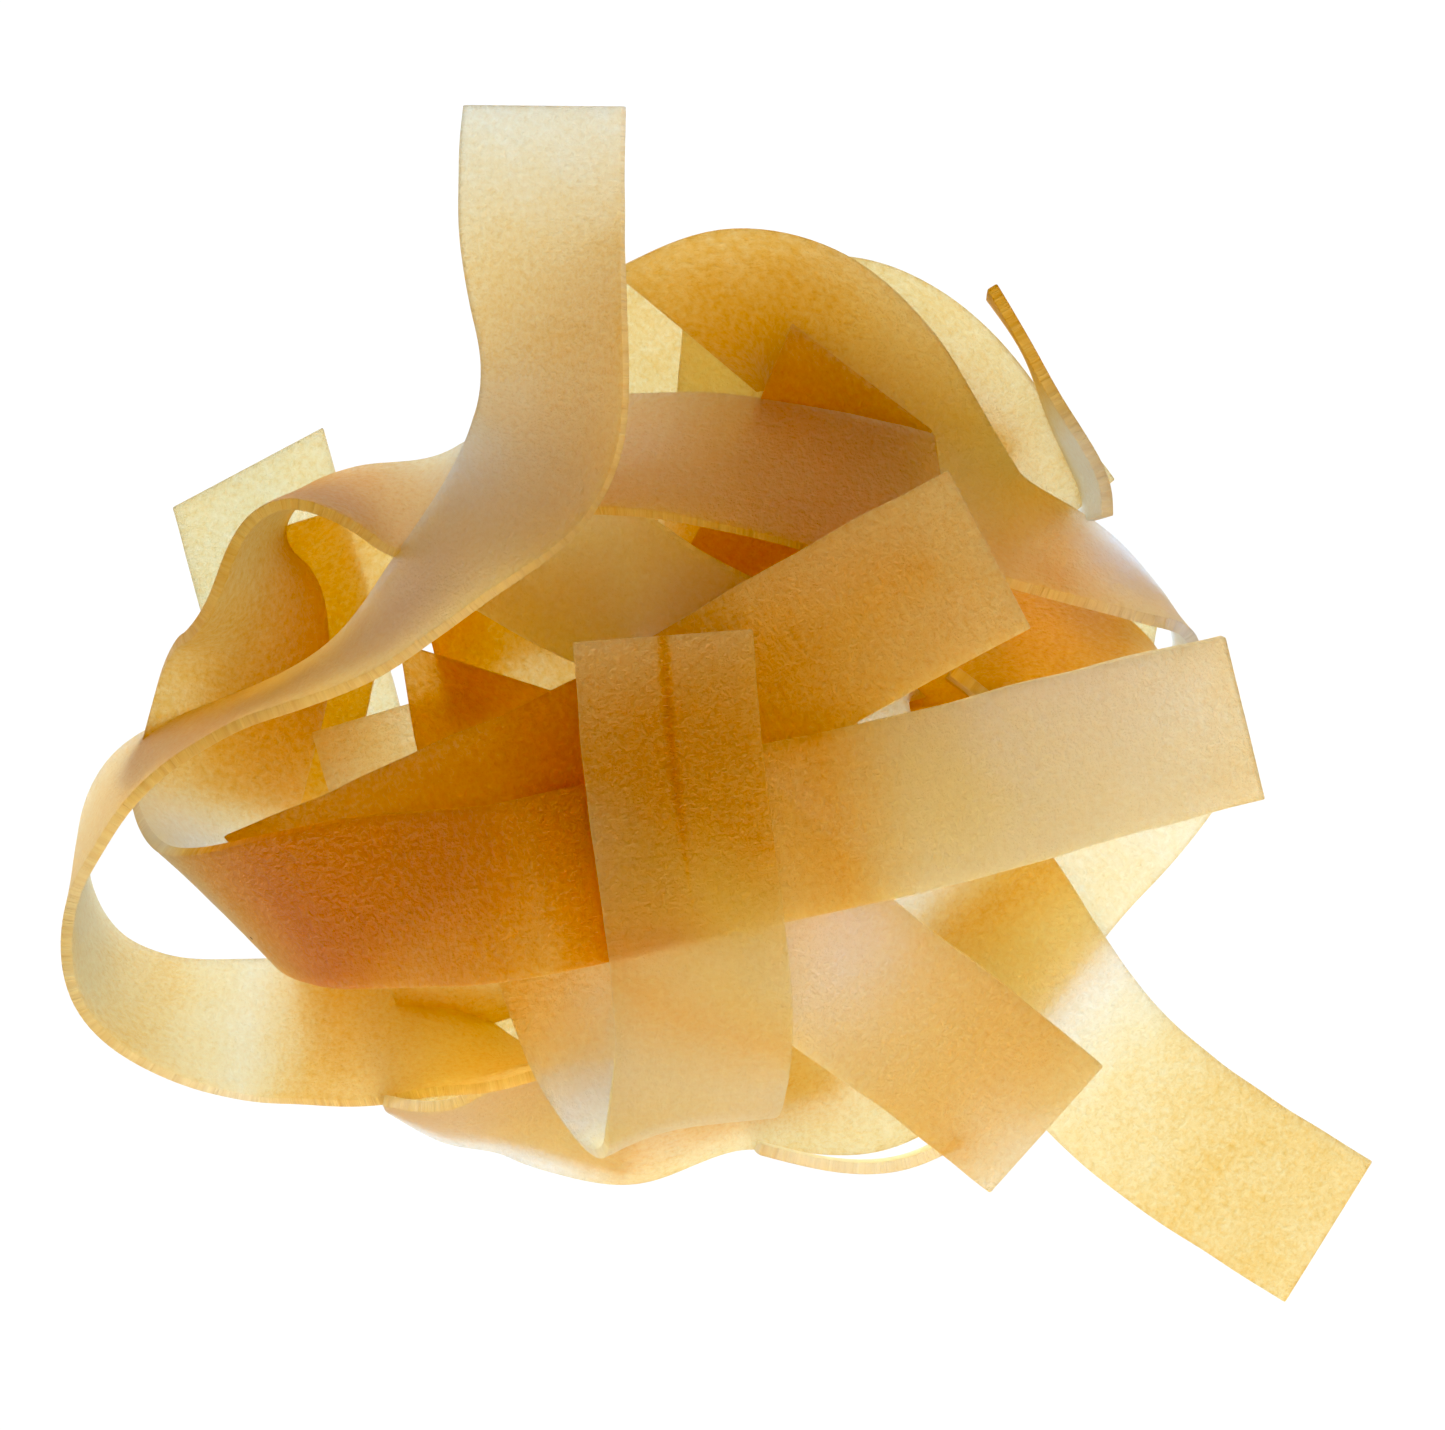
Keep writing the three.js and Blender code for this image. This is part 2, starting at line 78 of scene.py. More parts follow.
# %% Ribbon paths
RIBBON_PATHS = {
    # The wide strip over the middle. It bends down at the front and comes back underneath.
    "clip": [
        (-4.0, 6.2, 31.5, 3, 0),
        (-3.2, -3.2, 31.8, 3, 0),
        (-2.0, -12.5, 31.0, 3, 0),
        (-1.3, -18.4, 29.3, 7, 0),
        (-1.1, -24.4, 25.8, 8, 0),
        (-1.6, -28.0, 22.7, 9, 0),
        (-2.3, -29.8, 19.6, 10, 0),
        (-4.0, -29.0, 16.8, 13, 0),
        (-7.3, -25.2, 14.9, 18, 0),
        (-10.6, -17.3, 13.6, 21, 0),
        (-16.1, -2.9, 11.2, 14, 0),
        (-17.5, 3.8, 9.8, 8, 0),
    ],
    # The long band under the clip. It runs from its free end on the right to a big curl on
    # the left, turns over there and goes back across the top.
    "band": [
        (39.1, 0.3, 20.0, -75, -17),
        (28.1, -2.3, 23.8, -77, -10),
        (14.7, -5.8, 27.5, -77, 0),
        (4.4, -8.0, 29.4, -77, 0),
        (-7.2, -10.6, 29.6, -77, 0),
        (-17.0, -12.6, 28.0, -80, 0),
        (-24.2, -13.2, 24.2, -75, -6),
        (-32.4, -14.1, 21.0, -64, -24),
        (-37.8, -13.5, 14.8, -47, -34),
        (-39.0, -7.2, 8.0, -25, -19),
        (-37.4, -0.3, 6.4, -8, -7),
        (-35.8, 6.3, 6.0, -7, -37),
        (-35.5, 10.9, 7.5, -11, -65),
        (-35.0, 15.0, 8.1, -27, -85),
        (-32.3, 17.3, 8.8, 107, -84),
        (-28.8, 17.5, 9.2, 96, -72),
        (-25.0, 16.8, 9.3, 90, -60),
        (-20.5, 16.7, 10.4, 93, -49),
        (-13.6, 19.3, 12.4, 94, -49),
        (-1.4, 19.9, 15.5, 88, -41),
        (17.0, 15.6, 17.7, 87, -31),
    ],
    # The end that sticks up at the back. It sweeps down to the left, makes the open loop
    # there on edge, and comes back low along the front.
    "flag": [
        (-12.9, 45.6, 22.0, 1, 23),
        (-13.0, 34.9, 22.0, 0, 22),
        (-12.2, 27.2, 22.0, -3, 33),
        (-13.2, 19.9, 21.6, -18, 30),
        (-18.9, 13.0, 20.6, -29, 50),
        (-26.1, 6.4, 18.2, -28, 67),
        (-34.0, 1.8, 14.8, -56, 80),
        (-42.8, -2.7, 12.5, -63, 74),
        (-47.0, -6.6, 10.3, -45, 72),
        (-49.4, -12.6, 7.8, -45, 85),
        (-47.1, -19.8, 6.4, -118, 67),
        (-40.5, -23.2, 5.4, -95, 48),
        (-34.0, -23.9, 5.2, -90, 37),
        (-28.5, -24.4, 5.9, -90, 42),
        (-22.1, -25.2, 6.7, -80, 56),
        (-17.2, -26.3, 7.4, -72, 75),
        (-13.8, -26.4, 7.5, -90, 87),
        (-6.8, -26.4, 7.5, 0, 90),
    ],
    # The strip that slants under the band, from its cut end at the upper right.
    "bar": [
        (19.8, 12.6, 26.8, -72, 0),
        (6.2, 5.2, 27.6, -61, 0),
        (-7.5, -2.7, 27.6, -63, 0),
        (-19.7, -8.2, 25.4, -66, 0),
        (-26.2, -11.1, 22.0, -65, 0),
        (-32.5, -13.7, 18.6, -65, -6),
    ],
    # The short end that slopes down at the front right.
    "short_end": [
        (24.9, -31.0, 11.0, -131, -3),
        (13.2, -21.6, 19.3, -130, 0),
        (9.1, -18.5, 22.2, -128, 0),
        (1.9, -11.6, 26.7, -128, 0),
        (-4.6, -6.6, 26.3, -128, 0),
    ],
    # The longest end, flat on the table at the front right, rising into the middle.
    "long_end": [
        (47.8, -40.0, 0.4, -120, 0),
        (42.2, -36.5, 0.4, -120, 0),
        (35.4, -31.9, 0.4, -121, 0),
        (30.2, -27.4, 1.2, -127, 0),
        (24.7, -20.5, 4.5, -142, 0),
        (14.3, -6.0, 10.0, -139, 0),
        (6.2, 1.6, 12.0, -128, -11),
        (-5.0, 8.3, 13.0, -125, -28),
        (-12.1, 12.3, 12.2, -127, -6),
        (-15.4, 14.2, 11.3, -127, 0),
    ],
    # The arch at the back. It leans over more and more, turns round on edge at the right and
    # comes back under the bar.
    "arch": [
        (-2.6, 30.2, 6.5, -72, -19),
        (1.8, 31.4, 6.9, -82, -9),
        (6.7, 30.2, 7.2, -99, 0),
        (10.6, 27.1, 7.6, -125, 12),
        (14.2, 22.6, 8.6, -135, 27),
        (20.3, 15.8, 10.6, -129, 48),
        (27.9, 12.5, 9.0, -116, 61),
        (33.2, 9.6, 7.4, -121, 76),
        (36.0, 6.3, 6.8, -90, 88),
        (35.6, 4.1, 6.8, -69, 85),
        (32.9, 4.4, 7.0, -81, 69),
        (26.7, 5.9, 7.2, -82, 53),
        (14.0, 5.5, 7.6, -82, 41),
    ],
    # The strip that lies along the back, under and outside the arch.
    "shoulder": [
        (-10.1, 29.1, 0.4, -89, 0),
        (-1.5, 29.4, 0.4, -89, 0),
        (6.4, 30.0, 0.9, -91, 3),
        (11.4, 29.9, 2.0, -106, 18),
        (17.1, 26.4, 3.0, -139, 25),
        (21.4, 21.1, 3.4, -141, 27),
        (24.3, 17.8, 3.3, -140, 26),
        (26.3, 15.2, 3.1, -140, 25),
    ],
    # The end that stands on edge against the shoulder.
    "flap": [
        (21.0, 33.2, 6.5, 35, 93),
        (23.9, 28.6, 6.5, 36, 94),
        (25.9, 24.2, 6.5, 32, 91),
        (27.9, 20.3, 6.5, 20, 87),
        (29.0, 17.4, 6.5, 8, 86),
        (29.1, 15.6, 6.5, 0, 86),
    ],
    # The low stretch that goes round the front right, from under the band to the left end.
    "ring": [
        (35.2, -0.3, 7.0, 131, 21),
        (30.7, -6.5, 4.6, 131, 15),
        (24.7, -13.4, 2.8, 130, 13),
        (18.8, -21.7, 2.4, 125, 17),
        (11.6, -27.8, 2.7, 113, 25),
        (2.4, -28.8, 4.2, 94, 43),
        (-7.5, -31.9, 5.0, 86, 49),
        (-15.5, -30.2, 5.4, 72, 53),
        (-20.7, -30.8, 6.3, 72, 72),
        (-25.7, -29.5, 6.5, 67, 83),
    ],
    # A stretch on edge in front of the ring.
    "hoop": [
        (3.0, -32.9, 6.5, -100, 94),
        (9.8, -34.3, 6.5, -90, 94),
        (15.2, -33.7, 6.5, -75, 94),
        (18.6, -32.0, 6.5, -60, 93),
    ],
    # The end that shows outside the curl, at the left.
    "tab": [
        (-36.9, 19.9, 0.4, 16, 0),
        (-34.3, 10.3, 0.4, 16, 0),
        (-32.0, 2.2, 0.4, 16, 0),
        (-29.6, -6.0, 0.4, 16, 0),
    ],
    # The square-cut end that shows between the curl and the clip, and dips to the table.
    "stub": [
        (-25.1, 1.0, 7.2, 14, 0),
        (-22.6, -7.6, 7.4, 16, 0),
        (-20.7, -14.5, 6.6, 16, 0),
        (-18.7, -20.5, 3.4, 16, 0),
        (-17.7, -23.4, 1.2, 14, 0),
    ],
    # Flat on the table below the front stretches.
    "slip": [
        (-33.0, -20.7, 0.4, -107, 0),
        (-25.8, -22.9, 0.4, -107, 0),
        (-15.6, -26.1, 0.4, -107, 0),
        (-5.4, -29.2, 0.4, -107, 0),
    ],
    # From its cut end under the arch, down across the middle.
    "cross": [
        (10.9, 26.2, 11.4, -23, 0),
        (8.9, 21.4, 12.2, -22, 0),
        (6.2, 15.4, 11.4, -23, 0),
        (2.6, 8.5, 9.6, -25, 0),
        (-0.5, 1.7, 8.0, -21, 0),
        (-3.3, -10.7, 5.6, -10, 0),
    ],
    # The lowest strip, from the back to the front.
    "under": [
        (3.7, 30.9, 2.1, -5, 0),
        (2.8, 21.2, 2.4, -7, 0),
        (-0.3, 3.2, 3.2, -9, 0),
        (-1.7, -10.0, 3.4, -3, 0),
        (0.3, -19.4, 2.4, 9, 0),
        (2.5, -27.0, 1.1, 14, 0),
        (3.4, -30.3, 0.7, 15, 0),
    ],
    # Two stretches on edge that carry the bar, the band and the clip.
    "inner_coil": [
        (-1.4, -13.7, 19.0, 0, 90),
        (5.3, -13.7, 19.0, 0, 90),
        (10.7, -9.6, 19.0, 0, 90),
        (11.5, -3.0, 19.0, 0, 90),
        (7.6, 1.2, 19.0, 0, 90),
        (2.5, 0.7, 19.0, 0, 90),
        (1.2, -4.7, 19.0, 0, 90),
        (5.0, -8.1, 19.0, 0, 90),
    ],
    "inner_wall": [
        (15.8, 11.9, 20.0, 0, 90),
        (8.3, 8.9, 20.0, 0, 90),
        (1.6, 7.0, 20.0, 0, 90),
        (-2.1, 2.4, 20.0, 0, 90),
        (-2.9, -4.3, 20.0, 0, 90),
        (-2.3, -10.7, 20.0, 0, 90),
        (-3.6, -15.4, 20.0, 0, 90),
    ],
    # On edge below the bar and the band, just left of the clip.
    "inner_fence": [
        (-11.9, 0.6, 19.4, 0, 90),
        (-11.2, -3.7, 19.6, 0, 90),
        (-10.2, -9.5, 19.6, 0, 90),
        (-9.4, -15.5, 19.0, 0, 90),
    ],
    # On edge below the right half of the band. Its start peeps out behind the band.
    "inner_arc": [
        (17.4, 3.7, 17.0, 0, 90),
        (20.3, 1.4, 17.0, 0, 90),
        (23.3, -2.8, 16.5, 0, 90),
        (22.4, -8.4, 16.0, 0, 90),
        (17.0, -11.6, 16.5, 0, 90),
        (10.4, -12.6, 17.0, 0, 90),
    ],
    # The inner turn of the curl, low inside it.
    "lining": [
        (-30.4, 16.4, 1.2, -12, 0),
        (-33.0, 6.0, 1.2, -10, 0),
        (-34.3, 0.0, 1.2, -8, 0),
        (-35.2, -6.5, 1.8, -5, 0),
    ],
    # Flat layers inside the nest, from high to low.
    "inner_mid": [
        (-21.6, 4.3, 8.5, -105, 0),
        (-14.5, 6.0, 8.4, -103, 0),
        (-7.0, 7.6, 8.2, -101, 0),
    ],
    "inner_back": [
        (13.0, 15.2, 5.4, 96, 0),
        (0.0, 13.8, 5.6, 96, 0),
        (-12.0, 12.2, 5.4, 99, 0),
        (-21.6, 9.9, 4.9, 104, 0),
    ],
    "inner_right": [
        (33.6, 3.0, 0.5, 98, 0),
        (24.0, 4.6, 0.5, 99, 0),
        (9.0, 6.8, 0.6, 98, 0),
    ],
    "inner_low": [
        (3.0, 21.5, 0.9, 84, 0),
        (12.5, 19.9, 0.5, 75, 0),
        (20.0, 16.0, 0.5, 62, 0),
    ],
}
# How far the cuts at a ribbon's two ends are out of square, in mm.
END_SKEWS = {
    "clip": (0, -6.9),
    "band": (-1.8, -5),
    "bar": (0, -4),
    "arch": (7, 0),
    "tab": (-3, 0),
    "slip": (8, 0),
    "cross": (3.6, 0),
    "lining": (-8, 0),
}
print(len(RIBBON_PATHS), "ribbons")

# %% [markdown]
# ## From a flat strip to a folded ribbon
# A cook cuts a flat strip and lets it fall into folds. The same is done here. A flat grid of
# the strip's cut size is added, and every point of it is carried to its place: so far along
# the path, and so far across it. The path is a natural cubic spline, which bends as evenly as
# a soft strip does.

# %% Smooth paths
def width_direction(turn, lift):
    turn, lift = math.radians(turn), math.radians(lift)
    level = math.cos(lift)
    return [level * math.cos(turn), level * math.sin(turn), math.sin(lift)]


def spline_bends(lengths, rows):
    """Second derivatives of the natural cubic spline through the rows."""
    spans = np.diff(lengths)
    slopes = np.diff(rows, axis=0) / spans[:, None]
    matrix = np.eye(len(lengths))
    right = np.zeros_like(rows)
    for i in range(1, len(lengths) - 1):
        matrix[i, i - 1:i + 2] = spans[i - 1], 2 * (spans[i - 1] + spans[i]), spans[i]
        right[i] = 6 * (slopes[i] - slopes[i - 1])
    return np.linalg.solve(matrix, right)


def spline_values(lengths, rows, places):
    bends = spline_bends(lengths, rows)
    i = np.clip(np.searchsorted(lengths, places) - 1, 0, len(lengths) - 2)
    span = (lengths[i + 1] - lengths[i])[:, None]
    back = (lengths[i + 1] - places)[:, None] / span
    front = 1 - back
    curve = (back**3 - back) * bends[i] + (front**3 - front) * bends[i + 1]
    return back * rows[i] + front * rows[i + 1] + curve * span**2 / 6


def unit(vectors):
    return vectors / np.linalg.norm(vectors, axis=1)[:, None]


NUDGE = 0.125             # mm to each side of a place, for the path's direction there


class RibbonCurve:
    """A ribbon's middle line with its three directions, by the length along it."""

    def __init__(self, path):
        self.rows = np.array([[x, y, z, *width_direction(turn, lift)] for x, y, z, turn, lift in path])
        gaps = np.linalg.norm(np.diff(self.rows[:, :3], axis=0), axis=1)
        self.lengths = np.concatenate([[0], np.cumsum(gaps)])
        self.length = self.lengths[-1]

    def at(self, places):
        values = spline_values(self.lengths, self.rows, places)
        ahead = spline_values(self.lengths, self.rows, np.minimum(places + NUDGE, self.length))
        behind = spline_values(self.lengths, self.rows, np.maximum(places - NUDGE, 0))
        along = unit(ahead[:, :3] - behind[:, :3])
        across = values[:, 3:]
        across = unit(across - (across * along).sum(axis=1)[:, None] * along)
        return values[:, :3], along, across, np.cross(along, across)


curves = {name: RibbonCurve(path) for name, path in RIBBON_PATHS.items()}
print("ribbon in all: %.0f mm" % sum(curve.length for curve in curves.values()))

# %% Centre the nest over the origin, as the solid model is
def bare_edges(curve):
    """The four corners of the bare ribbon's section, all along it."""
    centre, _, across, out = curve.at(np.linspace(0, curve.length, 200))
    half = across * RIBBON_WIDTH / 2
    skin = out * RIBBON_THICKNESS / 2
    right, left = centre + half, centre - half
    return np.concatenate([right + skin, right - skin, left + skin, left - skin])


edges = np.concatenate([bare_edges(curve) for curve in curves.values()])
nest_middle = (edges.min(axis=0) + edges.max(axis=0)) / 2
SHIFT = np.array([-nest_middle[0], -nest_middle[1], 0.0])
print("shift in mm", SHIFT.round(2))

# %% [markdown]
# ## Dried by hand, not moulded
# Pasta warps a little as it dries: the faces ripple and the edges waver. These are small
# moves of the grid's points before it gets its thickness.
#
# A ribbon isn't equally pale all along. Its tone is set in a few listed marks, and where two
# marks differ it runs evenly from one to the other.
# Many of these marks are painted light and shade: lower where shade falls inside the nest, higher where a
# glow or a sheen shows.

# %% How pale each ribbon is along its length, painted light and shade included
# A mark is a length along the ribbon, in mm, and how pale the sheet is there: -0.5 is amber and
# 1.5 is the palest cream. The marks are set so that the lit ribbons look right. Some of what
# they stand for would be thinner, drier dough. Much of it is painted light and shade, where the
# lamps below don't bring or don't block enough light. The lowest marks are painted shade, as on
# the band and the bar beside the clip and at the arch's inner end. The highest are a painted
# glow and sheen, as on the clip's lower half and the band's curl.
MIDDLE_TONE = 0.5
TONE_AND_PAINTED_LIGHT = {
    "clip": [
        (0, 0.7), (6, 0.4), (12, 0.4), (18, 1.3), (23, 1.5), (29, 0.7), (35, 1.5), (41, 0.9),
        (48, 1.45), (55, 0.45), (60, 0.2), (85, 0.0),
    ],
    "band": [
        (0, 0.55), (6, 1.0), (12, 1.25), (20, 1.5), (27, 1.5), (33, 0.45), (37, 0.8), (42, 0.8), (46, -0.4),
        (51, -0.5), (55, 0.3), (59, 0.0), (66, 0.05), (75, -0.5), (80, 0.1), (85, 1.5), (89, 1.2), (96, 0.2),
        (106, 0.2), (114, 0.2), (125, 0.3), (135, 0.8), (142, 0.4), (152, 0.65), (164, 0.55), (175, 0.5),
    ],
    "flag": [
        (0, 0.85), (5, 0.65), (11, 0.4), (18, 0.35), (24, 0.6), (31, 1.3), (38, 1.3), (46, 0.95), (58, 0.5),
        (76, 0.6), (89, 0.35), (97, 0.7), (103, 0.2), (112, 0.5), (125, 0.3),
    ],
    "bar": [
        (0, 0.5), (4, 0.5), (12, 0.55), (20, 0.3), (28, -0.1), (35, -0.5), (40, 0.1), (52, 0.2), (64, 0.0),
    ],
    "short_end": [(0, 0.7), (5, 0.5), (11, 0.6), (19, 0.85), (24, 1.2), (32, 1.3), (36, 1.0)],
    "long_end": [
        (0, 0.35), (10, 0.3), (20, 0.48), (29, 1.0), (35, 0.85), (39, 0.3), (44, 0.8), (54, 0.9), (62, 0.6),
        (72, 1.3), (84, 1.35), (88, 1.35),
    ],
    "arch": [
        (0, 0.2), (8, 0.15), (16, 0.7), (25, 1.5), (31, 0.8), (36, 0.4), (42, 1.3), (48, 1.2), (56, 0.0),
        (80, -0.3),
    ],
    "shoulder": [(0, 0.35), (8, 0.35), (20, 0.35), (26, 0.4), (45, 0.5)],
    "flap": [(0, -0.2), (8, 0.0), (13, 1.0), (20, 1.0)],
    "ring": [
        (0, 0.45), (6, 0.75), (12, 0.65), (18, 0.6), (22, 0.35), (30, 0.4), (43, 0.45), (50, 0.5), (56, 0.4),
        (61, 1.05), (80, 1.0),
    ],
    "hoop": [(0, 1.0)],
    "cross": [(0, 0.25), (5, -0.3), (14, -0.2), (40, 0.0)],
    "under": [(0, 0.9), (8, 0.8), (16, 0.0), (40, 0.3), (55, 0.5)],
    "stub": [(0, 0.45), (12, 0.35), (26, 0.35)],
    "slip": [(0, 0.2), (12, 0.2), (29, 0.5)],
    "lining": [(0, 0.2)],
    "inner_coil": [(0, 0.5)],
    "inner_wall": [(0, 0.3)],
    "inner_fence": [(0, -0.5)],
    "inner_arc": [(0, 0.2), (8, 1.0)],
    "inner_mid": [(0, -0.5), (6, 0.2)],
    "inner_back": [(0, 0.0), (18, 0.3), (35, 0.5)],
    "inner_right": [(0, 0.5)],
    "inner_low": [(0, 0.3)],
}
TONE_LOW = -0.5           # the marks' range, which the mesh stores as 0 to 1
TONE_TOP = 1.5
# On these the marks run slantwise: mm along for each mm across, about which place. On the clip
# this slants its painted bright streak and the painted shade beside it, along the edge of the
# short end beneath.
PAINTED_STREAK_SLANTS = {"clip": (0.7, 20.0)}
SLANT_REACH = 12.0        # mm from that place to where the slant is down to half
SLANT_FULL = 1.5          # makes it full up to half that reach, and gone at one and a half
# The clip's shaded line is painted shade: a darker streak down its middle, where a strip on edge beneath
# shades it.
SHADED_LINE_RIBBON = "clip"          # a painted shaded line runs down the middle of this one
SHADED_LINE_LENGTH = 22.0      # mm
SHADED_LINE_WIDTH = 0.8        # mm, from its core to where it ends
SHADED_LINE_DEPTH = 0.42       # how much deeper its tone is
NO_SHADED_LINE = 9.0           # mm: further than the painted shaded line reaches

# %% Lay one ribbon
RIPPLE = 0.10             # mm out of the face
RIPPLE_LENGTH = 7.0       # mm
WAVER = 0.12              # mm along the cut edges
WAVER_LENGTH = 5.0        # mm
SKEW_FADE = 12.0          # mm over which an end's skew dies out
EDGE_WEAR = 0.14          # mm off the cut edges


def number_of(name):
    """A whole number from a ribbon's name, so that no two ribbons ripple alike."""
    return sum(map(ord, name))


def laid_points(name, curve, flat):
    """Carries the flat strip's points to their places on the path."""
    seed = 10.0 * number_of(name) % 97
    places = np.clip(flat[:, 1] + curve.length / 2, 0, curve.length)
    shares = flat[:, 0] / (RIBBON_WIDTH / 2)
    centre, along, across, out = curve.at(places)
    start_skew, end_skew = END_SKEWS.get(name, (0.0, 0.0))
    near_start = np.clip(1 - places / SKEW_FADE, 0, 1)
    near_end = np.clip(1 - (curve.length - places) / SKEW_FADE, 0, 1)
    slide = shares * (start_skew * near_start + end_skew * near_end) / 2
    waver = np.array([
        noise.noise(Vector((s / WAVER_LENGTH, seed, 2.0 * (w > 0)))) for s, w in zip(places, shares)
    ])
    ripple = np.array([
        noise.noise(Vector((s / RIPPLE_LENGTH, w * 0.8, seed))) for s, w in zip(places, shares)
    ])
    width = flat[:, 0] + WAVER * waver * shares
    rise = RIPPLE * ripple
    points = centre + along * slide[:, None] + across * width[:, None] + out * rise[:, None] + SHIFT
    points[:, 2] = np.maximum(points[:, 2], RIBBON_THICKNESS / 2 * np.abs(out[:, 2]))
    return points


def tone_and_painted_light_along(name, curve, flat):
    """The tone at every point of the flat strip, from its marks, as 0 to 1. The marks carry painted light
    and shade.
    """
    places = flat[:, 1] + curve.length / 2
    # The clip's painted streak of light and shade runs slantwise.
    slope, about = PAINTED_STREAK_SLANTS.get(name, (0.0, 0.0))
    places = places - slope * flat[:, 0] * np.clip(SLANT_FULL - np.abs(places - about) / SLANT_REACH, 0, 1)
    marks = TONE_AND_PAINTED_LIGHT.get(name, [(0, MIDDLE_TONE)])
    tone = np.interp(places, [mark[0] for mark in marks], [mark[1] for mark in marks])
    return (tone - TONE_LOW) / (TONE_TOP - TONE_LOW)


def shaded_line_distance(name, curve, flat):
    """How far a point is from the painted shaded line, in mm. The line narrows away towards its end."""
    if name != SHADED_LINE_RIBBON:
        return np.full(len(flat), NO_SHADED_LINE)
    places = flat[:, 1] + curve.length / 2
    narrowing = np.clip(places / SHADED_LINE_LENGTH, 0, 2) ** 3
    return np.abs(flat[:, 0]) + SHADED_LINE_WIDTH * narrowing


def new_ribbon(name, curve):
    bpy.ops.object.select_all(action="DESELECT")
    rows = max(8, round(curve.length / STEP_ALONG))
    bpy.ops.mesh.primitive_grid_add(
        x_subdivisions=STRIPS_ACROSS, y_subdivisions=rows, size=1, location=(0, 0, 0)
    )
    ribbon = bpy.context.object
    ribbon.name = "ribbon_" + name
    bpy.ops.object.mode_set(mode="EDIT")
    bpy.ops.mesh.select_all(action="SELECT")
    bpy.ops.transform.resize(value=(RIBBON_WIDTH, curve.length, 1))
    bpy.ops.object.mode_set(mode="OBJECT")
    mesh = ribbon.data
    flat = np.empty(len(mesh.vertices) * 3)
    mesh.vertices.foreach_get("co", flat)
    flat = flat.reshape(-1, 3)
    unroll(mesh, flat, name)
    # The tone marks, painted light and shade among them, go on the mesh as 0 to 1.
    mesh.attributes.new("tone", "FLOAT", "POINT").data.foreach_set("value", tone_and_painted_light_along(name, curve, flat))
    # The distance to the clip's painted shaded line.
    from_shaded_line = mesh.attributes.new("from_shaded_line", "FLOAT", "POINT")
    from_shaded_line.data.foreach_set("value", shaded_line_distance(name, curve, flat))
    points = laid_points(name, curve, flat) * MM
    mesh.vertices.foreach_set("co", points.ravel())
    mesh.update()
    return ribbon


UV_UNIT = 10.0            # one unit of the strip's map is 10 mm of pasta
MAP_OFFSET = 7.3          # mm between two ribbons' places on the pattern


def unroll(mesh, flat, name):
    """Lays the map flat at the strip's real size, so that grain follows the ribbon."""
    corners = np.empty(len(mesh.loops), dtype=int)
    mesh.loops.foreach_get("vertex_index", corners)
    offset = MAP_OFFSET * (number_of(name) % 31)
    places = (flat[corners, :2] + offset) / UV_UNIT
    mesh.uv_layers[0].data.foreach_set("uv", places.ravel())


def thicken(ribbon):
    """Gives the sheet its thickness and takes the sharpness off its cut edges."""
    solid = ribbon.modifiers.new("sheet thickness", "SOLIDIFY")
    solid.thickness = RIBBON_THICKNESS * MM
    solid.offset = 0
    solid.material_offset_rim = 1        # the rim gets the second material, the cut edge's
    edge = ribbon.modifiers.new("worn edge", "BEVEL")
    edge.width = EDGE_WEAR * MM
    edge.segments = 2
    edge.limit_method = "ANGLE"
    edge.angle_limit = math.radians(60)
    for modifier in list(ribbon.modifiers):
        bpy.ops.object.modifier_apply(modifier=modifier.name)
    bpy.ops.object.shade_smooth_by_angle(angle=math.radians(40))
    keep_in_box(ribbon.data)


def keep_in_box(mesh):
    """Keeps every point above the table and inside the solid model's box."""
    points = np.empty(len(mesh.vertices) * 3)
    mesh.vertices.foreach_get("co", points)
    points = np.clip(points.reshape(-1, 3), solid_box[0], solid_box[1])
    mesh.vertices.foreach_set("co", points.ravel())
    mesh.update()


# %% [markdown]
# ## Dried egg pasta
# The dough is semolina and egg, rolled to a sheet and cut. Dried, it is matt, and it lets
# light through like candle wax, more in red than in blue. Most of what is seen here is light
# from below. So the surface is mostly what comes through: a Translucent shader for the part
# that is scattered, and a very rough Refraction for the part that roughly keeps its way. A
# little Principled shader gives the sandy body seen from above. Over both lies a weak blurred
# gloss, which grows where the sheet is seen at a slant.

# %% Material helpers
def linear(code):
    """An sRGB hex colour as linear red, green, blue and alpha."""
    parts = [int(code[i:i + 2], 16) / 255 for i in (1, 3, 5)]
    return [p / 12.92 if p <= 0.04045 else ((p + 0.055) / 1.055) ** 2.4 for p in parts] + [1.0]


def add_node(tree, kind, values=None, links=None, **settings):
    """Adds a node, sets its properties and sockets, and links sockets to it."""
    node = tree.nodes.new(kind)
    for key, value in settings.items():
        setattr(node, key, value)
    for key, value in (values or {}).items():
        node.inputs[key].default_value = value
    for key, source in (links or {}).items():
        tree.links.new(source, node.inputs[key])
    return node


def ramp(tree, source, stops):
    """A colour ramp from (place, colour) stops."""
    node = add_node(tree, "ShaderNodeValToRGB", links={"Fac": source})
    while len(node.color_ramp.elements) < len(stops):
        node.color_ramp.elements.new(0.5)
    for element, (place, colour) in zip(node.color_ramp.elements, stops):
        element.position = place
        element.color = colour
    return node.outputs["Color"]


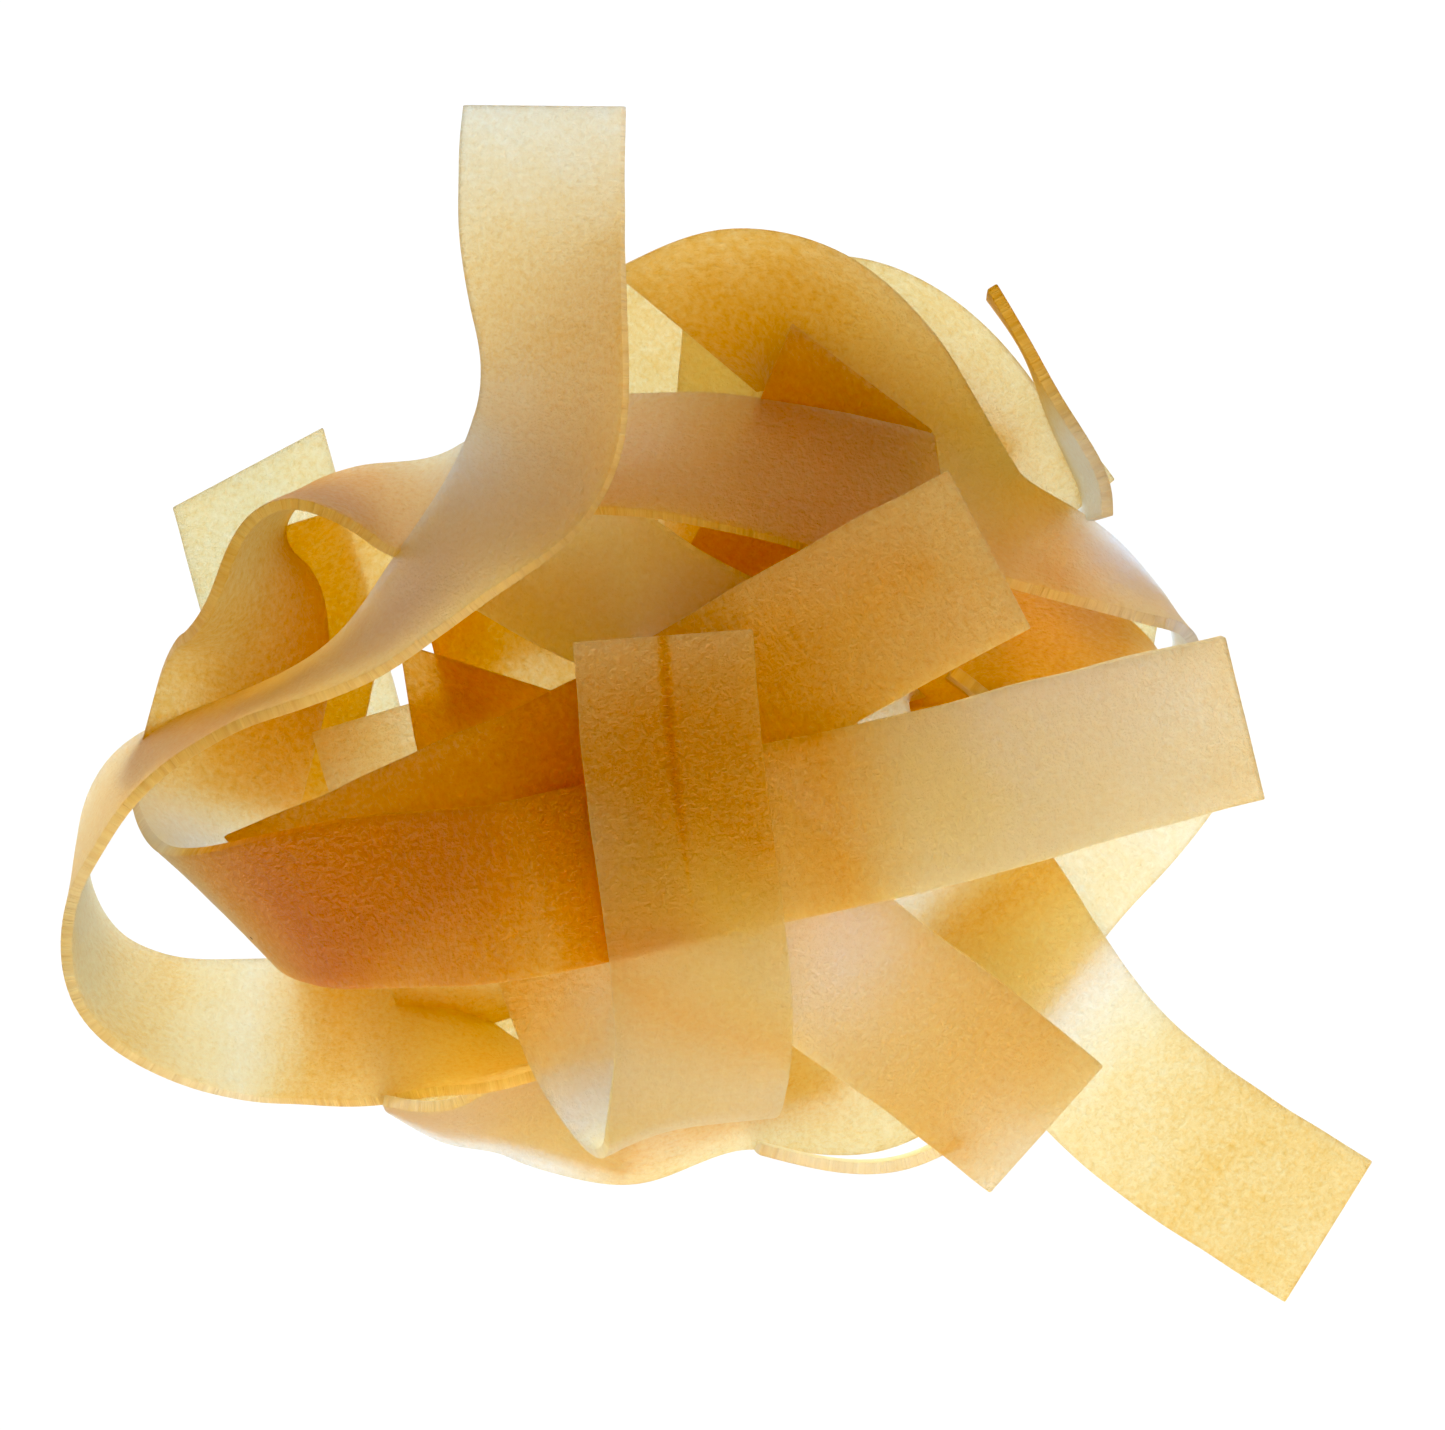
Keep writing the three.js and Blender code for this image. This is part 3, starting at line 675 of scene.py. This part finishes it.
# %% Dried egg pasta
SHEET_COLOURS = [(0.32, "#CF9A4A"), (0.68, "#FBD68C")]    # what it sends back, over the grain
TONE_COLOURS = [          # what comes through one sheet, from amber to cream
    (0.0, "#EFAD44"), (0.25, "#F8CD73"), (0.5, "#FEE8AC"), (0.75, "#FFF5CB"), (1.0, "#FFFCE0"),
]
CLOUD_SIZE = UV_UNIT / 3  # mm, of the soft clouds in the sheet
GRAIN_SIZE = 0.5          # mm, of the semolina grain, coarse enough to show
GRAIN_RELIEF = 0.4        # mm
MOTTLE = 0.32             # how far the tone wanders
GRAIN_PART = 2.5          # the fine grain in it, beside the cloudiness
THROUGH_SHARE = 0.90      # of what a face doesn't mirror, the share that goes through it
FORWARD_SHARE = 0.30      # of that, the share that roughly keeps its way
FORWARD_ROUGHNESS = 0.65
FORWARD_IOR = 1.2
BODY_ROUGHNESS = 0.62
BODY_IOR = 1.45
SHEEN_ROUGHNESS = 0.42
SHEEN_LEVEL = 0.004       # share mirrored by a face seen straight on
SHEEN_SLANTED = 0.17      # and how much more by one seen edge-on
SHEEN_BLEND = 0.3
SPECK_COLOUR = "#7A4A22"
SPECK_SPACING = 9.0       # mm
SPECK_RADIUS = 0.22       # mm
SPECK_CHOICE = 0.88       # of the pattern's cells, the share that holds no speck


def bran_specks(tree, map_at):
    """One where a bran speck lies, 0 elsewhere. Only a few cells of the pattern hold one."""
    cells = add_node(
        tree,
        "ShaderNodeTexVoronoi",
        {"Scale": UV_UNIT / SPECK_SPACING, "Randomness": 1.0},
        {"Vector": map_at},
    )
    near = add_node(
        tree,
        "ShaderNodeMath",
        {1: SPECK_RADIUS / SPECK_SPACING},
        {0: cells.outputs["Distance"]},
        operation="LESS_THAN",
    )
    chance = add_node(tree, "ShaderNodeSeparateColor", links={"Color": cells.outputs["Color"]})
    chosen = add_node(
        tree, "ShaderNodeMath", {1: SPECK_CHOICE}, {0: chance.outputs["Red"]}, operation="GREATER_THAN"
    )
    speck = add_node(
        tree,
        "ShaderNodeMath",
        links={0: near.outputs["Value"], 1: chosen.outputs["Value"]},
        operation="MULTIPLY",
    )
    return speck.outputs["Value"]


def mottled_tone(tree, map_at, grain, tone_shift):
    """The ribbon's tone from its marks, painted light and shade among them, made uneven by clouds and grain,
    and deeper along the painted shaded line.
    """
    cloud = add_node(
        tree,
        "ShaderNodeTexNoise",
        {"Scale": UV_UNIT / CLOUD_SIZE, "Detail": 4.0, "Roughness": 0.6},
        {"Vector": map_at},
    )
    mixed = add_node(
        tree,
        "ShaderNodeMath",
        {1: GRAIN_PART},
        {0: grain, 2: cloud.outputs["Fac"]},
        operation="MULTIPLY_ADD",
    )
    laid_tone = add_node(tree, "ShaderNodeAttribute", attribute_name="tone")
    base_tone = add_node(
        tree, "ShaderNodeMath", {1: tone_shift - MOTTLE}, {0: laid_tone.outputs["Fac"]}, operation="ADD"
    )
    uneven = add_node(
        tree,
        "ShaderNodeMath",
        {1: MOTTLE * 2 / (1 + GRAIN_PART)},
        {0: mixed.outputs["Value"], 2: base_tone.outputs["Value"]},
        operation="MULTIPLY_ADD",
    )
    # The painted shade along the line down the clip's middle.
    from_shaded_line = add_node(tree, "ShaderNodeAttribute", attribute_name="from_shaded_line")
    line_shade = add_node(
        tree,
        "ShaderNodeMapRange",
        {"From Min": 0.0, "From Max": SHADED_LINE_WIDTH, "To Min": SHADED_LINE_DEPTH, "To Max": 0.0},
        {"Value": from_shaded_line.outputs["Fac"]},
        interpolation_type="SMOOTHSTEP",
    )
    tone = add_node(
        tree,
        "ShaderNodeMath",
        links={0: uneven.outputs["Value"], 1: line_shade.outputs["Result"]},
        operation="SUBTRACT",
    )
    return tone.outputs["Value"]


def coloured(stops):
    return [(place, linear(code)) for place, code in stops]


def dried_pasta(name, tone_shift=0.0, share=THROUGH_SHARE, slanted=SHEEN_SLANTED):
    material = bpy.data.materials.new(name)
    material.use_nodes = True
    tree = material.node_tree
    tree.nodes.clear()
    map_at = add_node(tree, "ShaderNodeTexCoord").outputs["UV"]
    grain = add_node(
        tree,
        "ShaderNodeTexNoise",
        {"Scale": UV_UNIT / GRAIN_SIZE, "Detail": 3.0, "Roughness": 0.7},
        {"Vector": map_at},
    ).outputs["Fac"]
    bumps = add_node(
        tree, "ShaderNodeBump", {"Strength": 1.0, "Distance": GRAIN_RELIEF * MM}, {"Height": grain}
    ).outputs["Normal"]
    clear = ramp(tree, mottled_tone(tree, map_at, grain, tone_shift), coloured(TONE_COLOURS))
    # In a colour mix, socket 0 is the factor, 6 the first colour and 7 the second.
    let_through = add_node(
        tree,
        "ShaderNodeMix",
        {7: linear(SPECK_COLOUR)},
        {0: bran_specks(tree, map_at), 6: clear},
        data_type="RGBA",
    ).outputs[2]
    body = add_node(
        tree,
        "ShaderNodeBsdfPrincipled",
        {"Roughness": BODY_ROUGHNESS, "IOR": BODY_IOR},
        {"Base Color": ramp(tree, grain, coloured(SHEET_COLOURS)), "Normal": bumps},
    )
    scattered = add_node(tree, "ShaderNodeBsdfTranslucent", links={"Color": let_through, "Normal": bumps})
    straight = add_node(
        tree,
        "ShaderNodeBsdfRefraction",
        {"Roughness": FORWARD_ROUGHNESS, "IOR": FORWARD_IOR},
        {"Color": let_through, "Normal": bumps},
    )
    light = add_node(
        tree,
        "ShaderNodeMixShader",
        {"Fac": FORWARD_SHARE},
        {1: scattered.outputs["BSDF"], 2: straight.outputs["BSDF"]},
    )
    both = add_node(
        tree, "ShaderNodeMixShader", {"Fac": share}, {1: body.outputs["BSDF"], 2: light.outputs["Shader"]}
    )
    shine = add_node(
        tree,
        "ShaderNodeBsdfGlossy",
        {"Color": linear("#FFFFFF"), "Roughness": SHEEN_ROUGHNESS},
        {"Normal": bumps},
    )
    slant = add_node(tree, "ShaderNodeLayerWeight", {"Blend": SHEEN_BLEND}, {"Normal": bumps})
    mirror_share = add_node(
        tree,
        "ShaderNodeMath",
        {1: slanted, 2: SHEEN_LEVEL},
        {0: slant.outputs["Facing"]},
        operation="MULTIPLY_ADD",
    )
    skin = add_node(
        tree,
        "ShaderNodeMixShader",
        links={0: mirror_share.outputs["Value"], 1: both.outputs["Shader"], 2: shine.outputs["BSDF"]},
    )
    add_node(tree, "ShaderNodeOutputMaterial", links={"Surface": skin.outputs["Shader"]})
    return material


# A cut edge is drawn a little paler than the rolled face. It lets less light through and has
# almost no gloss, as it is rough from the knife.
rolled_face = dried_pasta("dried egg pasta, rolled face")
cut_edge = dried_pasta("dried egg pasta, cut edge", tone_shift=0.12, share=0.75, slanted=0.02)
print("materials ready")

# %% Lay every ribbon
for name, curve in curves.items():
    ribbon = new_ribbon(name, curve)
    ribbon.data.materials.append(rolled_face)
    ribbon.data.materials.append(cut_edge)
    thicken(ribbon)
    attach(ribbon, "root")
    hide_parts("pasta_nest")
    print("%-22s %6.1f mm %7d faces" % (ribbon.name, curve.length, len(ribbon.data.polygons)))

# %% [markdown]
# ## Table, light and camera
# The nest lies on a light table: a plain white floor that glows, seen directly and in gloss.
# The light itself comes from lamps. Two under the glass are bluer than white, to make up for
# the blue that the sheets take out, and those above and around are warm. Their colours and
# powers are chosen by how the lit ribbons look and aren't those of real lamps. The pale sky is
# seen directly and in gloss too, and lights nothing else.

# %% Floor
FLOOR_SIZE = 6            # m
FLOOR_DROP = 0.0003       # m below the nest, so that the two never share a face
FLOOR_GLOW = 1.05
bpy.ops.object.select_all(action="DESELECT")
bpy.ops.mesh.primitive_plane_add(size=FLOOR_SIZE, location=(0, 0, -FLOOR_DROP))
floor = bpy.context.object
floor.name = "light_table"
table = bpy.data.materials.new("white glass, lit from below")
table.use_nodes = True
table.node_tree.nodes.clear()
lamp_glass = add_node(
    table.node_tree, "ShaderNodeEmission", {"Color": linear("#FFFFFF"), "Strength": FLOOR_GLOW}
)
add_node(table.node_tree, "ShaderNodeOutputMaterial", links={"Surface": lamp_glass.outputs["Emission"]})
floor.data.materials.append(table)
floor.visible_diffuse = False
floor.visible_transmission = False
floor.visible_shadow = False


# %% Lights
AIM = Vector((0, 0, 0.001))                 # m, the point every lamp faces
UNDER_COLOUR = (0.40, 0.565, 1.0)
BEAM_COLOUR = (0.14, 0.22, 1.0)
BEAM_SPREAD = 100                           # degrees
SIDE_COLOUR = (1.0, 0.3, 0.1)
SIDE_DISTANCE = 0.45                        # m
SIDE_HEIGHT = 0.07                          # m
SIDE_GLOWS = [                              # side, direction in x and y, watts
    ("right", 1, 0, 0.2),
    ("back", 0, 1, 0.2),
    ("left", -1, 0, 0.05),
    ("front", 0, -1, 0.12),
]
FRONT_COLOUR = (0.9, 0.84, 0.5)
TOP_COLOUR = (1.0, 0.80, 0.28)


def area_lamp(name, size, watts, colour, place, shape="SQUARE", spread=180, in_gloss=False):
    """A lamp at a place in metres, turned to face the nest from there."""
    bpy.ops.object.light_add(type="AREA", location=place)
    lamp = bpy.context.object
    lamp.name = name
    lamp.data.shape = shape
    lamp.data.size = size
    lamp.data.color = colour
    lamp.data.energy = watts
    lamp.data.spread = math.radians(spread)
    lamp.rotation_euler = (AIM - lamp.location).to_track_quat("-Z", "Y").to_euler()
    lamp.visible_camera = False
    lamp.visible_glossy = in_gloss


area_lamp("glow_under_glass", 0.4, 1.25, UNDER_COLOUR, (0, 0, -0.004))
area_lamp("beam_under_glass", 0.3, 0.34, BEAM_COLOUR, (0, 0, -0.006), spread=BEAM_SPREAD)
for side, x, y, watts in SIDE_GLOWS:
    place = (x * SIDE_DISTANCE, y * SIDE_DISTANCE, SIDE_HEIGHT)
    area_lamp("side_glow_" + side, 0.4, watts, SIDE_COLOUR, place)
area_lamp("low_front_lamp", 0.2, 2.6, FRONT_COLOUR, (0.12, -0.42, 0.23), shape="DISK", in_gloss=True)
area_lamp("soft_top_lamp", 0.3, 2.2, TOP_COLOUR, (0.06, -0.12, 0.45), shape="DISK")
print("lamps ready")

# %% Sky
SKY_LEVELS = [(0.0, 1.0), (0.3, 0.7), (0.6, 0.05)]    # white at the horizon, dark overhead
world = bpy.data.worlds.new("pale studio")
world.use_nodes = True
direction = add_node(world.node_tree, "ShaderNodeTexCoord").outputs["Generated"]
height = add_node(world.node_tree, "ShaderNodeSeparateXYZ", links={"Vector": direction}).outputs["Z"]
pale = ramp(world.node_tree, height, [(place, (level, level, level, 1)) for place, level in SKY_LEVELS])
background = world.node_tree.nodes["Background"]
world.node_tree.links.new(pale, background.inputs["Color"])
background.inputs["Strength"].default_value = 1.0
world.cycles_visibility.diffuse = False
world.cycles_visibility.transmission = False
bpy.context.scene.world = world

# %% Camera
FRAME_WIDTH = 113.43      # mm of table across the picture
CAMERA_HEIGHT = 390.0     # mm
CAMERA_OVER = (0.3, 0.5)  # mm, in the paths' own measure
SENSOR = 36               # mm
BLACK_LEVEL = (0.0, 0.004, 0.025)    # takes the last green and blue out of the deep ambers
bpy.ops.object.camera_add(
    location=((CAMERA_OVER[0] + SHIFT[0]) * MM, (CAMERA_OVER[1] + SHIFT[1]) * MM, CAMERA_HEIGHT * MM),
    rotation=(0, 0, 0),
)
camera = bpy.context.object
camera.data.sensor_fit = "HORIZONTAL"
camera.data.sensor_width = SENSOR
camera.data.lens = SENSOR * CAMERA_HEIGHT / FRAME_WIDTH
camera.data.dof.use_dof = False
bpy.context.scene.camera = camera
view = bpy.context.scene.view_settings
view.view_transform = "Standard"
view.use_curve_mapping = True
view.curve_mapping.black_level = BLACK_LEVEL
view.curve_mapping.update()
print("lens %.1f mm" % camera.data.lens)
